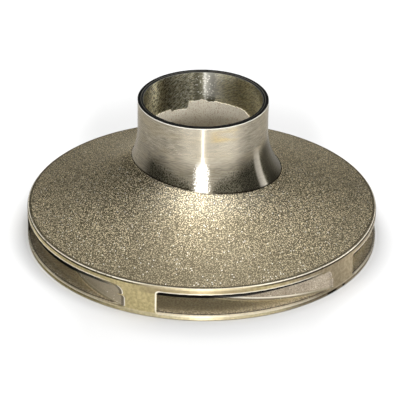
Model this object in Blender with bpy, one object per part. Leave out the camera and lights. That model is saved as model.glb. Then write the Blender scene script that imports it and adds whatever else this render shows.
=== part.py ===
"""Enclosed circulator pump impeller: a bronze sand casting with five swept vanes.

The impeller lies on its back with the suction neck up. The shaft axis is +Z, the origin is the
centre of the flat back face, and every length is in metres. Azimuths are measured from -Y
(the front) towards +X. The real impeller is one casting. It is divided here into the forms
that a pump maker names, each a closed solid with a thin gap to its neighbours.
"""

import math

import bmesh
import bpy
from mathutils import Matrix, Vector

# Driving dimensions
OUTSIDE_RADIUS = 0.0825
RIM_HEIGHT = 0.0710
EDGE_TOP = 0.0163
SLOT_FLOOR = 0.0024
WALL = 0.0038
GAP = 0.0003

# Suction neck
NECK_RADIUS = 0.0305
BORE_RADIUS = 0.0279
BORE_DEPTH = 0.0150
FLARE_TOP = 0.0558
FLARE_RADIUS = 0.0374
FLARE_TURN = math.radians(27.5)
RIM_CHAMFER = 0.0006

# Front shroud
DOME_START_SLOPE = math.radians(40)
EDGE_SLOPE = math.radians(17)
DOME_START_PULL = 0.0100
DOME_END_PULL = 0.0240
EDGE_CHAMFER = 0.0005

# Back shroud and hub
HUB_RADIUS = 0.0130
HUB_HEIGHT = 0.0300
HUB_FOOT_RADIUS = 0.0260
SHAFT_BORE_RADIUS = 0.0079
KEYWAY_WIDTH = 0.0048
KEYWAY_DEPTH = 0.0024
BACK_RECESS = 0.0008
BACK_BAND_WIDTH = 0.0150
HUB_FACE_RADIUS = 0.0220

# Vanes
VANE_COUNT = 5
FIRST_VANE_AZIMUTH = math.radians(52)
VANE_OUTLET_ANGLE = math.radians(15)
VANE_INLET_ANGLE = math.radians(32)
VANE_ANGLE_POWER = 1.3
VANE_OUTLET_THICKNESS = 0.0042
VANE_INLET_THICKNESS = 0.0034
VANE_INLET_RADIUS = 0.0297
VANE_ROOT_RADIUS = 0.0200
VANE_TIP_OVERRUN = 0.0060
VANE_STEP = 0.0030

# Roundness
SEGMENTS = 72
CURVE_STEPS = 12
FLARE_STEPS = 6
SMOOTH_ANGLE = math.radians(32)


def bezier(start, start_pull, end_pull, end, steps):
    """Points of a cubic curve in the (radius, height) plane, both ends included."""
    points = []
    for step in range(steps + 1):
        t = step / steps
        u = 1 - t
        points.append(start * u ** 3 + start_pull * (3 * u * u * t)
                      + end_pull * (3 * u * t * t) + end * t ** 3)
    return points


def offset(points, distance):
    """The same line moved sideways, to the left of its direction of travel."""
    moved = []
    for index, point in enumerate(points):
        before = points[max(index - 1, 0)]
        after = points[min(index + 1, len(points) - 1)]
        along = (after - before).normalized()
        moved.append(point + Vector((-along.y, along.x)) * distance)
    return moved


def flare_line(wall):
    """The concave foot of the neck, from its top downwards, moved inwards by a wall."""
    centre = Vector((NECK_RADIUS + FLARE_RADIUS, FLARE_TOP))
    radius = FLARE_RADIUS + wall
    points = []
    for step in range(FLARE_STEPS + 1):
        turn = FLARE_TURN * step / FLARE_STEPS
        points.append(centre + Vector((-math.cos(turn), -math.sin(turn))) * radius)
    return points


def dome_line():
    """Outer face of the front shroud, from the foot of the flare out to the edge."""
    foot = flare_line(0)[-1]
    edge = Vector((OUTSIDE_RADIUS, EDGE_TOP))
    leaving = Vector((math.cos(DOME_START_SLOPE), -math.sin(DOME_START_SLOPE)))
    arriving = Vector((math.cos(EDGE_SLOPE), -math.sin(EDGE_SLOPE)))
    return bezier(foot, foot + leaving * DOME_START_PULL,
                  edge - arriving * DOME_END_PULL, edge, CURVE_STEPS)


def dome_inner_line(extra=0):
    """Inner face of the front shroud, moved further in by extra where a gap is wanted."""
    wall = WALL + extra
    points = offset(dome_line(), -wall)
    points[0] = flare_line(wall)[-1]
    points[-1] = Vector((OUTSIDE_RADIUS, EDGE_TOP - wall / math.cos(EDGE_SLOPE)))
    return points


def floor_line(extra=0):
    """Inner face of the back shroud and hub, from the outside edge in to the hub's top."""
    points = bezier(Vector((OUTSIDE_RADIUS, SLOT_FLOOR)), Vector((0.050, 0.0036)),
                    Vector((0.014, 0.0045)), Vector((HUB_RADIUS, HUB_HEIGHT)), CURVE_STEPS)
    moved = offset(points, -extra)
    moved[0] = Vector((OUTSIDE_RADIUS, SLOT_FLOOR + extra))
    return moved


def cut_at_radius(points, radius):
    """The part of an inward line that lies outside a radius, and the part inside it."""
    for index in range(len(points) - 1):
        if points[index].x > radius >= points[index + 1].x:
            share = (points[index].x - radius) / (points[index].x - points[index + 1].x)
            crossing = points[index].lerp(points[index + 1], share)
            return points[:index + 1] + [crossing], [crossing] + points[index + 1:]
    raise ValueError("the line does not cross that radius")


def bronze(name, colour, roughness):
    """A metal of one colour and roughness."""
    material = bpy.data.materials.new(name)
    material.use_nodes = True
    shader = material.node_tree.nodes["Principled BSDF"]
    shader.inputs["Base Color"].default_value = (*colour, 1)
    shader.inputs["Metallic"].default_value = 0.9
    shader.inputs["Roughness"].default_value = roughness
    return material


def make_object(name, work, material):
    """Close a bmesh into a named, smooth-shaded object."""
    bmesh.ops.remove_doubles(work, verts=work.verts, dist=0.00001)
    bmesh.ops.recalc_face_normals(work, faces=work.faces)
    mesh = bpy.data.meshes.new(name)
    work.to_mesh(mesh)
    work.free()
    mesh.shade_smooth()
    mesh.set_sharp_from_angle(angle=SMOOTH_ANGLE)
    if material is not None:
        mesh.materials.append(material)
    piece = bpy.data.objects.new(name, mesh)
    bpy.context.collection.objects.link(piece)
    return piece


def turned(name, profile, material):
    """Spin a closed (radius, height) outline once round the shaft axis."""
    work = bmesh.new()
    ring = [work.verts.new((point.x, 0, point.y)) for point in profile]
    edges = [work.edges.new((ring[i - 1], ring[i])) for i in range(len(ring))]
    bmesh.ops.spin(work, geom=ring + edges, cent=(0, 0, 0), axis=(0, 0, 1),
                   angle=math.tau, steps=SEGMENTS, use_merge=True)
    return make_object(name, work, material)


def as_guide(piece):
    """Keep a cutting shape in the file without it being part of the model."""
    piece.hide_render = True
    piece.display_type = "WIRE"
    return piece


def add_boolean(piece, guide, operation):
    """Cut a piece with a guide, or keep only what lies inside it."""
    modifier = piece.modifiers.new(operation.title(), "BOOLEAN")
    modifier.operation = operation
    modifier.object = guide
    modifier.solver = "EXACT"


def suction_neck(material):
    """Turned neck that runs in the casing's wear ring, with its stepped bore."""
    outer = flare_line(0)
    inner = flare_line(WALL)
    ledge = RIM_HEIGHT - BORE_DEPTH
    profile = [Vector((BORE_RADIUS, RIM_HEIGHT - RIM_CHAMFER)),
               Vector((BORE_RADIUS + RIM_CHAMFER, RIM_HEIGHT)),
               Vector((NECK_RADIUS - RIM_CHAMFER / 2, RIM_HEIGHT)),
               Vector((NECK_RADIUS, RIM_HEIGHT - RIM_CHAMFER / 2))]
    profile += outer
    profile += reversed(inner)
    profile += [Vector((NECK_RADIUS - WALL, ledge)), Vector((BORE_RADIUS, ledge))]
    return turned("suction_neck", profile, material)


def front_shroud(material):
    """Domed cover plate between the neck and the outside edge."""
    outer = dome_line()
    inner = dome_inner_line()
    step = Vector((math.sin(FLARE_TURN), -math.cos(FLARE_TURN))) * GAP
    outer[0] = outer[0] + step
    inner[0] = inner[0] + step
    outer[-1] = outer[-1] - Vector((EDGE_CHAMFER, -EDGE_CHAMFER * math.tan(EDGE_SLOPE)))
    corner = Vector((OUTSIDE_RADIUS, EDGE_TOP - EDGE_CHAMFER))
    return turned("front_shroud", outer + [corner] + inner[::-1], material)


def back_shroud(material):
    """Back plate: a turned outer band, a shallow cast recess, and the floor of the slots."""
    floor, _ = cut_at_radius(floor_line(), HUB_FOOT_RADIUS)
    band = OUTSIDE_RADIUS - BACK_BAND_WIDTH
    profile = [Vector((HUB_FOOT_RADIUS, BACK_RECESS)),
               Vector((band - BACK_RECESS, BACK_RECESS)),
               Vector((band, 0)),
               Vector((OUTSIDE_RADIUS - EDGE_CHAMFER, 0)),
               Vector((OUTSIDE_RADIUS, EDGE_CHAMFER))]
    return turned("back_shroud", profile + floor, material)


def hub(material):
    """Boss that takes the shaft, with a keyway through its bore."""
    _, floor = cut_at_radius(floor_line(), HUB_FOOT_RADIUS - GAP)
    nose = HUB_RADIUS - RIM_CHAMFER
    floor[-1] = Vector((HUB_RADIUS, HUB_HEIGHT - RIM_CHAMFER))
    profile = [Vector((SHAFT_BORE_RADIUS + RIM_CHAMFER, 0)),
               Vector((HUB_FACE_RADIUS, 0)),
               Vector((HUB_FACE_RADIUS + BACK_RECESS, BACK_RECESS)),
               Vector((HUB_FOOT_RADIUS - GAP, BACK_RECESS))]
    profile += floor
    profile += [Vector((nose, HUB_HEIGHT)),
                Vector((SHAFT_BORE_RADIUS + RIM_CHAMFER, HUB_HEIGHT)),
                Vector((SHAFT_BORE_RADIUS, HUB_HEIGHT - RIM_CHAMFER)),
                Vector((SHAFT_BORE_RADIUS, RIM_CHAMFER))]
    piece = turned("hub", profile, material)
    add_boolean(piece, keyway_guide(), "DIFFERENCE")
    return piece


def keyway_guide():
    """Block that broaches the keyway, standing in the bore towards +Y."""
    work = bmesh.new()
    bmesh.ops.create_cube(work, size=1)
    length = SHAFT_BORE_RADIUS + KEYWAY_DEPTH
    bmesh.ops.scale(work, verts=work.verts, vec=(KEYWAY_WIDTH, length, HUB_HEIGHT * 2))
    bmesh.ops.translate(work, verts=work.verts, vec=(0, length / 2, HUB_HEIGHT / 2))
    return as_guide(make_object("keyway_guide", work, None))


def passage_guide():
    """Ring of space that the vanes fill: between the shrouds, from their roots to the edge."""
    top = dome_inner_line(GAP)
    floor, _ = cut_at_radius(floor_line(GAP), VANE_ROOT_RADIUS)
    return as_guide(turned("passage_guide", floor[::-1] + top[:0:-1], None))


def vane_angle(radius):
    """Angle between the vane and the tangent, flatter towards the outlet."""
    inlet = (OUTSIDE_RADIUS - radius) / (OUTSIDE_RADIUS - VANE_INLET_RADIUS)
    share = max(inlet, 0) ** VANE_ANGLE_POWER
    return VANE_OUTLET_ANGLE + (VANE_INLET_ANGLE - VANE_OUTLET_ANGLE) * share


def vane_centre_line():
    """Plan of one vane's middle, from its tip inwards, with the outlet at azimuth zero."""
    reach = OUTSIDE_RADIUS + VANE_TIP_OVERRUN - (VANE_ROOT_RADIUS - VANE_STEP)
    steps = round(reach / VANE_STEP)
    azimuth = VANE_TIP_OVERRUN / (OUTSIDE_RADIUS * math.tan(VANE_OUTLET_ANGLE))
    radius = OUTSIDE_RADIUS + VANE_TIP_OVERRUN
    points = []
    for _ in range(steps + 1):
        points.append(Vector((math.sin(azimuth), -math.cos(azimuth))) * radius)
        middle = radius - VANE_STEP / 2
        azimuth -= VANE_STEP / (middle * math.tan(vane_angle(middle)))
        radius -= VANE_STEP
    return points


def vane_side(centre_line, side):
    """One face of the vane, half a thickness off its middle, thinner towards the eye."""
    moved = []
    for index, point in enumerate(centre_line):
        before = centre_line[max(index - 1, 0)]
        after = centre_line[min(index + 1, len(centre_line) - 1)]
        along = (after - before).normalized()
        share = min((OUTSIDE_RADIUS - point.length) / (OUTSIDE_RADIUS - VANE_INLET_RADIUS), 1)
        thickness = VANE_OUTLET_THICKNESS
        thickness += (VANE_INLET_THICKNESS - VANE_OUTLET_THICKNESS) * max(share, 0)
        moved.append(point + Vector((-along.y, along.x)) * (side * thickness / 2))
    return moved


def vane(number, guide, material):
    """One blade: its plan raised through the full depth, then kept inside the passage."""
    middle = vane_centre_line()
    plan = vane_side(middle, 1) + vane_side(middle, -1)[::-1]
    work = bmesh.new()
    face = work.faces.new([work.verts.new((point.x, point.y, 0)) for point in plan])
    raised = bmesh.ops.extrude_face_region(work, geom=[face])
    upper = [item for item in raised["geom"] if isinstance(item, bmesh.types.BMVert)]
    bmesh.ops.translate(work, verts=upper, vec=(0, 0, RIM_HEIGHT))
    turn = FIRST_VANE_AZIMUTH + number * math.tau / VANE_COUNT
    bmesh.ops.rotate(work, verts=work.verts, cent=(0, 0, 0),
                     matrix=Matrix.Rotation(turn, 3, "Z"))
    piece = make_object(f"vane_{number + 1}", work, material)
    add_boolean(piece, guide, "INTERSECT")
    return piece


def main():
    for old in list(bpy.data.objects):
        bpy.data.objects.remove(old)
    cast = bronze("cast_bronze", (0.21, 0.17, 0.11), 0.55)
    machined = bronze("machined_bronze", (0.55, 0.50, 0.40), 0.25)
    suction_neck(machined)
    front_shroud(cast)
    back_shroud(cast)
    hub(machined)
    guide = passage_guide()
    for number in range(VANE_COUNT):
        vane(number, guide, cast)


main()
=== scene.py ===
# %% [markdown]
# # Dressing a bronze pump impeller
# The part is the enclosed impeller of a small circulator pump: one sand casting in bronze,
# bead-blasted all over and then turned on its neck, bore, outside edge and back. The construction
# model holds it as separate plain solids. This lesson makes the casting whole again, with the
# rounded corners that sand cores leave, and gives each surface the finish its tool left, with
# much of the light and shade on it painted into its colours.
#
# Everything is in metres, with the shaft axis on +Z and the photographer at -Y. The first cell
# loads the imported model and keeps its box, because the dressed part may not outgrow it.

# %% The imported frame
import math
from types import SimpleNamespace

import bmesh
import bpy
import numpy as np
from mathutils import Matrix, Vector
from mathutils.geometry import interpolate_bezier


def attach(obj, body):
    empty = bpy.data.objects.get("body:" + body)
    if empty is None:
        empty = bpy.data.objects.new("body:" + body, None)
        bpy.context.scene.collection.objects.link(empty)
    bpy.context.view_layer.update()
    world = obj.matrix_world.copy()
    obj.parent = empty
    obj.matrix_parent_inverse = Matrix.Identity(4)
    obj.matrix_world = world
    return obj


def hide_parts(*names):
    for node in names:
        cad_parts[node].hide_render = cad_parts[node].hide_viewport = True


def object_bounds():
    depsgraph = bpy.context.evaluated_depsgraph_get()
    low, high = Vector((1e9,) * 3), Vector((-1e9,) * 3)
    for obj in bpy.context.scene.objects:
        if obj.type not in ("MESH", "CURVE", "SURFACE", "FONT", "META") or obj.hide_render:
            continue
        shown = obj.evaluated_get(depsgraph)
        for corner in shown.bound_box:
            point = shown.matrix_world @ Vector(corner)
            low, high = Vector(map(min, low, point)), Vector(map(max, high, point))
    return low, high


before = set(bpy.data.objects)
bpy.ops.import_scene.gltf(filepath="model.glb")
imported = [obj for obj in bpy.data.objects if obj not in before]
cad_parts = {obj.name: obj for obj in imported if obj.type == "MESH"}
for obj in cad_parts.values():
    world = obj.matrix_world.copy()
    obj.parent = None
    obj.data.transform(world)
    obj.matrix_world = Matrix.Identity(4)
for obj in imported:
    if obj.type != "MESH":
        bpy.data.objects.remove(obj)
cad_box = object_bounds()
print("nodes to dress:", ", ".join(sorted(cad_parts)))

# %% [markdown]
# ## The camera
# A long lens keeps the outside edge and the neck's rim as nearly parallel ellipses. How flat an
# ellipse looks gives the camera's height above the horizon, and how much smaller the far rim is
# gives its distance. The photographer also held the camera a touch out of level, so the last turn
# is about the camera's own line of sight.

# %% The camera
CAMERA_ELEVATION = math.radians(29.43)
CAMERA_DISTANCE = 1.392
CAMERA_ROLL = math.radians(0.72)
CAMERA_AIM = Vector((-0.0009, 0, 0.0171))
LENS_MM = 262.9
SENSOR_MM = 36

camera_data = bpy.data.cameras.new("camera")
camera_data.lens = LENS_MM
camera_data.sensor_width = SENSOR_MM
camera_data.clip_end = 20
camera = bpy.data.objects.new("camera", camera_data)
bpy.context.collection.objects.link(camera)
from_part = Vector((0, -math.cos(CAMERA_ELEVATION), math.sin(CAMERA_ELEVATION)))
camera.location = from_part * CAMERA_DISTANCE
sight = (CAMERA_AIM - camera.location).to_track_quat("-Z", "Y").to_matrix()
camera.rotation_euler = (sight @ Matrix.Rotation(CAMERA_ROLL, 3, "Z")).to_euler()
bpy.context.scene.camera = camera
print(f"camera {CAMERA_DISTANCE:.2f} m away, {math.degrees(CAMERA_ELEVATION):.0f} degrees up")

# %% [markdown]
# ## The turned blank
# Everything on the casting that is round about the shaft can be drawn as half a cross-section and
# spun once round. The straight and chamfered stretches need only their corners. The flared foot of
# the neck is a circular arc, and the dome and the hub are Bezier curves, so each of those is drawn
# by the curve function that comes with Blender. The outside sizes come from the frame's box, so
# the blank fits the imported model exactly.

# %% Driving sizes
OUTSIDE_RADIUS = (cad_box[1].x - cad_box[0].x) / 2
RIM_HEIGHT = cad_box[1].z
EDGE_TOP = 0.0163
SLOT_FLOOR = 0.0024
WALL = 0.0038
NECK_RADIUS = 0.0305
FLARE_TOP = 0.0558
FLARE_RADIUS = 0.0374
FLARE_TURN = math.radians(27.5)
DOME_START_SLOPE = math.radians(40)
EDGE_SLOPE = math.radians(17)
DOME_START_PULL = 0.0100
DOME_END_PULL = 0.0240
HUB_RADIUS = 0.0130
HUB_HEIGHT = 0.0300
print(f"outside diameter {OUTSIDE_RADIUS * 2000:.1f} mm, height {RIM_HEIGHT * 1000:.1f} mm")


# %% Neck and dome in cross-section
FLARE_STEPS = 16
CURVE_POINTS = 48


def point(radius, height):
    return Vector((radius, 0, height))


def flare(wall=0.0):
    """The concave foot of the neck, top to bottom, moved into the metal by a wall."""
    centre = point(NECK_RADIUS + FLARE_RADIUS, FLARE_TOP)
    reach = point(-(FLARE_RADIUS + wall), 0)
    turn_by = [-FLARE_TURN * step / FLARE_STEPS for step in range(FLARE_STEPS + 1)]
    return [centre + Matrix.Rotation(turn, 3, "Y") @ reach for turn in turn_by]


def flare_radius(height, wall=0.0):
    """Radius of the neck at a height, or of its inside if a wall is given."""
    below = max(FLARE_TOP - height, 0)
    return NECK_RADIUS + FLARE_RADIUS - math.sqrt((FLARE_RADIUS + wall) ** 2 - below ** 2)


def dome():
    """The outer face of the front shroud, from the foot of the flare to the outside edge."""
    start, end = flare()[-1], point(OUTSIDE_RADIUS, EDGE_TOP)
    leaving = point(math.cos(DOME_START_SLOPE), -math.sin(DOME_START_SLOPE))
    arriving = point(math.cos(EDGE_SLOPE), -math.sin(EDGE_SLOPE))
    return interpolate_bezier(start, start + leaving * DOME_START_PULL,
                              end - arriving * DOME_END_PULL, end, CURVE_POINTS)


# %% Ceiling and floor of the passages
FLOOR_PULL = (0.050, 0.0036)
HUB_PULL = (0.014, 0.0045)


def moved_inwards(line, distance):
    """A line shifted square to itself, into the metal below and behind it."""
    shifted = []
    for before, here, after in zip(line[:1] + line[:-1], line, line[1:] + line[-1:]):
        along = (after - before).normalized()
        shifted.append(here + point(along.z, -along.x) * distance)
    return shifted


def hub_side():
    """The floor of the passages, from the outside edge in and up the side of the hub."""
    return interpolate_bezier(point(OUTSIDE_RADIUS, SLOT_FLOOR), point(*FLOOR_PULL),
                              point(*HUB_PULL), point(HUB_RADIUS, HUB_HEIGHT), CURVE_POINTS)


ceiling_line = moved_inwards(dome(), WALL)
ceiling_line[0] = flare(WALL)[-1]
ceiling_line[-1] = point(OUTSIDE_RADIUS, EDGE_TOP - WALL / math.cos(EDGE_SLOPE))
floor_line = hub_side()
print(f"slots {(ceiling_line[-1].z - SLOT_FLOOR) * 1000:.1f} mm high at the outside edge")

# %% [markdown]
# ## The vanes in plan
# A vane crosses each circle about the shaft at an angle that grows flatter towards the outside,
# so its line is found by stepping inwards and turning a little at each step. A table of radius and
# azimuth is all that the passages need later. Each vane starts as a rounded nose at the eye and
# ends as a wide turned land on the outside edge.

# %% Vane line
VANE_COUNT = 5
FIRST_VANE_AZIMUTH = math.radians(52.2)
OUTLET_ANGLE = math.radians(15)
INLET_ANGLE = math.radians(32)
ANGLE_POWER = 1.3
OUTLET_THICKNESS = 0.0041
INLET_THICKNESS = 0.0034
INLET_RADIUS = 0.0297
ROOT_RADIUS = 0.0200
UNDERRUN, OVERRUN = 0.0040, 0.0060
SAMPLES = 1200

vane_radii = np.linspace(ROOT_RADIUS - UNDERRUN, OUTSIDE_RADIUS + OVERRUN, SAMPLES)
towards_eye = ((OUTSIDE_RADIUS - vane_radii) / (OUTSIDE_RADIUS - INLET_RADIUS)).clip(0, None)
vane_angles = OUTLET_ANGLE + (INLET_ANGLE - OUTLET_ANGLE) * towards_eye ** ANGLE_POWER
turning = np.gradient(vane_radii) / (vane_radii * np.tan(vane_angles))
vane_azimuths = np.cumsum(turning)
vane_azimuths -= np.interp(OUTSIDE_RADIUS, vane_radii, vane_azimuths)
wrap = -math.degrees(np.interp(INLET_RADIUS, vane_radii, vane_azimuths))
print(f"{VANE_COUNT} vanes, each wrapped {wrap:.0f} degrees round the hub")


# %% [markdown]
# ## One sand core
# Each water passage is left by a core, so the passage is modelled as that core: a bar with its
# four long edges bevelled, cut into stations, and then every point of it is moved from the
# straight bar to its place in the passage. Bevelling the straight bar first is what gives every
# inside corner its fillet. Building five vanes and adding fillets afterwards would be far more
# fiddly. The core was made in two halves that didn't quite meet, which left a fine seam along the
# vane and a double-lobed end to the slot, with its notch a little above the middle.

# %% Floor and ceiling of the core
OUTSIDE_REACH = 0.030


def profile(line):
    """The radii and heights of a line, from the shaft outwards."""
    return np.array(sorted((p.x, p.z) for p in line)).T


def height_on(line_profile, radius):
    return float(np.interp(radius, *line_profile))


floor_profile = profile(floor_line)
ceiling_profile = profile(ceiling_line)


def section_ends(along):
    """Floor and ceiling points of the passage at a share of the way from eye to edge."""
    inside = min(along, 1)
    beyond = max(along - 1, 0) * OUTSIDE_REACH
    floor_radius = ROOT_RADIUS + (OUTSIDE_RADIUS - ROOT_RADIUS) * inside
    eye_radius = ceiling_line[0].x
    ceiling_radius = eye_radius + (OUTSIDE_RADIUS - eye_radius) * inside
    floor = point(floor_radius + beyond, height_on(floor_profile, floor_radius))
    ceiling = point(ceiling_radius + beyond, height_on(ceiling_profile, ceiling_radius))
    return floor, ceiling


# %% Corners of the core
CORNER_SHARE = 0.1
LEFT_CORNER = (0.0013, 0.0012)
CEILING_CORNER = (0.0066, 0.0034)
FLOOR_CORNER = (0.0013, 0.0010)
DEEP_FLOOR_CORNER = (0.0040, 0.0024)
CORNER_GROWTH = 0.0060


def spread(share, length, first, last):
    """Distance along a side whose two ends are corners of a given width."""
    if share < CORNER_SHARE:
        return first * share / CORNER_SHARE
    if share > 1 - CORNER_SHARE:
        return length - last * (1 - share) / CORNER_SHARE
    middle = (share - CORNER_SHARE) / (1 - 2 * CORNER_SHARE)
    return first + (length - first - last) * middle


def corners(across, radius):
    """Width and height of the floor's corner and the ceiling's on one side of the passage."""
    if across < 0.5:
        return LEFT_CORNER, LEFT_CORNER
    deep = min(max((OUTSIDE_RADIUS - radius) / CORNER_GROWTH, 0), 1)
    floor_corner = [a + (b - a) * deep for a, b in zip(FLOOR_CORNER, DEEP_FLOOR_CORNER)]
    return floor_corner, CEILING_CORNER


# %% The seam
SEAM_UP = 0.73
SEAM_DEPTH = 0.0010
SEAM_HALF_WIDTH = 0.13
SEAM_MISMATCH = 0.0005


def seam(up):
    """How far the two halves of the core stand back from the vane's face near their joint."""
    ridge = max(1 - abs(up - SEAM_UP) / SEAM_HALF_WIDTH, 0) ** 2
    return SEAM_DEPTH * ridge + SEAM_MISMATCH * (1 if up > SEAM_UP else -1)


# %% A point of the core
NOSE_LENGTH = 0.0032
NOSE_LEAST = 0.00015
FADE_LENGTH = 0.0080
MOUTH_CHAMFER = 0.0006
LIP_STEEPNESS = 2


def core_point(along, across, up):
    """Where a point of the straight bar, each share from 0 to 1, lies in the passage."""
    floor, ceiling = section_ends(along)
    depth = (ceiling - floor).length
    fade = min(max((floor.x - ROOT_RADIUS) * 2 / FADE_LENGTH, 0), 1)
    at_floor, at_ceiling = corners(across, floor.x)
    place = floor.lerp(ceiling, spread(up, depth, at_floor[1] * fade, at_ceiling[1] * fade) / depth)
    radius = place.x
    mouth = max(radius - (OUTSIDE_RADIUS - MOUTH_CHAMFER), 0)
    place.z += mouth * LIP_STEEPNESS * max(2 * up - 1, 0)

    angle = float(np.interp(radius, vane_radii, vane_angles))
    middle = float(np.interp(radius, vane_radii, vane_azimuths))
    inner = (OUTSIDE_RADIUS - radius) / (OUTSIDE_RADIUS - INLET_RADIUS)
    half = (OUTLET_THICKNESS + (INLET_THICKNESS - OUTLET_THICKNESS) * min(max(inner, 0), 1)) / 2
    nose_radius = ROOT_RADIUS + (ceiling_line[0].x - ROOT_RADIUS) * up
    past_nose = min(max((radius - nose_radius) / math.sin(angle) / NOSE_LENGTH, 0), 1)
    half = max(half * math.sqrt(1 - (1 - past_nose) ** 2), NOSE_LEAST)
    half_turn = half / (radius * math.sin(angle))
    width = (math.tau / VANE_COUNT - 2 * half_turn) * radius

    slant = math.sin(OUTLET_ANGLE) / math.sin(angle)
    right = (at_ceiling if up > 0.5 else at_floor)[0] * slant
    distance = spread(across, width, LEFT_CORNER[0] * fade, right * fade)
    distance += mouth * (2 * abs(across - 0.5))
    near_seam = max((across - 1 + CORNER_SHARE) / CORNER_SHARE, 0)
    distance -= seam(up) * slant * near_seam * fade
    azimuth = middle + half_turn + distance / radius
    return Vector((radius * math.sin(azimuth), -radius * math.cos(azimuth), place.z))


# %% A bar cut into stations
NOSE_STATIONS = [0.003, 0.006, 0.010, 0.015, 0.020, 0.026, 0.033]
FLOW_STEPS = 54
FLOW_STATIONS = [0.04 + 0.92 * step / FLOW_STEPS for step in range(FLOW_STEPS + 1)]
MOUTH_STATIONS = [0.98, 1 - MOUTH_CHAMFER / (OUTSIDE_RADIUS - ROOT_RADIUS), 1.0]
BAR_LENGTH = 1.1
CROSS_CUTS = 18
CORNER_SEGMENTS = 5
HEIGHT_CUTS = [0.25, 0.4, 0.5, 0.6, 0.64, 0.68, 0.7, 0.72, 0.74, 0.76, 0.78, 0.82, 0.86]


def sliced(work, places, direction):
    """Cut every face of a bmesh where it crosses each of a row of parallel planes."""
    for place in places:
        everything = work.verts[:] + work.edges[:] + work.faces[:]
        bmesh.ops.bisect_plane(work, geom=everything, plane_co=direction * place,
                               plane_no=direction, dist=1e-7)


def make_core():
    work = bmesh.new()
    bmesh.ops.create_cube(work, size=1)
    bmesh.ops.translate(work, verts=work.verts, vec=(0.5, 0.5, 0.5))
    bmesh.ops.scale(work, verts=work.verts, vec=(BAR_LENGTH, 1, 1))
    long_edges = [edge for edge in work.edges if abs(edge.verts[0].co.x - edge.verts[1].co.x) > 0.5]
    bmesh.ops.bevel(work, geom=long_edges, offset=CORNER_SHARE, offset_type="OFFSET",
                    segments=CORNER_SEGMENTS, profile=0.5, affect="EDGES", material=-1)
    sliced(work, NOSE_STATIONS + FLOW_STATIONS + MOUTH_STATIONS, Vector((1, 0, 0)))
    sliced(work, [CORNER_SHARE + (1 - 2 * CORNER_SHARE) * cut / CROSS_CUTS
                  for cut in range(CROSS_CUTS + 1)], Vector((0, 1, 0)))
    sliced(work, HEIGHT_CUTS, Vector((0, 0, 1)))
    for vert in work.verts:
        vert.co = core_point(*vert.co)
    return work


# %% Five cores
def all_cores():
    """Five like cores round the shaft, in one mesh."""
    work = make_core()
    first = work.verts[:] + work.edges[:] + work.faces[:]
    bmesh.ops.rotate(work, verts=work.verts, cent=(0, 0, 0),
                     matrix=Matrix.Rotation(FIRST_VANE_AZIMUTH, 3, "Z"))
    for number in range(1, VANE_COUNT):
        copy = bmesh.ops.duplicate(work, geom=first)["geom"]
        turned = [item for item in copy if isinstance(item, bmesh.types.BMVert)]
        bmesh.ops.rotate(work, verts=turned, cent=(0, 0, 0),
                         matrix=Matrix.Rotation(number * math.tau / VANE_COUNT, 3, "Z"))
    bmesh.ops.recalc_face_normals(work, faces=work.faces)
    volume = work.calc_volume() * 1e6
    print(f"{VANE_COUNT} cores with {len(work.faces)} faces, volume {volume:.1f} cm3")
    return work


# %% [markdown]
# ## The blank and its machined skin
# The cross-section is spun into one closed solid. Two things on it aren't round about the shaft.
# The casting sat slightly askew in the lathe, so the turned metal of the neck runs further down on
# one side than on the other. Inside the neck the boring tool ran out into the rough throat, where
# its cut ends at a different depth on each side. In both places the points that the spin made are
# moved up or down by their angle, which is simpler than cutting, and keeps the mesh in neat rings.

# %% Sizes of the blank
BORE_RADIUS = 0.0279
BORE_DEPTH = 0.0150
SHAFT_BORE_RADIUS = 0.0079
BACK_RECESS = 0.0008
BACK_BAND_WIDTH = 0.0150
HUB_FACE_RADIUS = 0.0220
SMALL_CHAMFER = 0.0006
EDGE_CHAMFER = 0.0005
EYE_CLEARANCE = 0.0015
LEDGE_HEIGHT = RIM_HEIGHT - BORE_DEPTH
CAST_RISE = 0.00025
OUTER_LAND = 0.00145
SPIN_STEPS = 360


def rim_corners():
    """The neck's rim, from the bore outwards: two flat lands with a fine step between them."""
    inner_round, outer_round, land_step = 0.00025, 0.0002, 0.00012
    step_at = NECK_RADIUS - OUTER_LAND
    return [point(BORE_RADIUS, RIM_HEIGHT - land_step - inner_round),
            point(BORE_RADIUS + inner_round, RIM_HEIGHT - land_step),
            point(step_at - land_step, RIM_HEIGHT - land_step),
            point(step_at, RIM_HEIGHT),
            point(NECK_RADIUS - outer_round, RIM_HEIGHT),
            point(NECK_RADIUS, RIM_HEIGHT - outer_round)]


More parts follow.
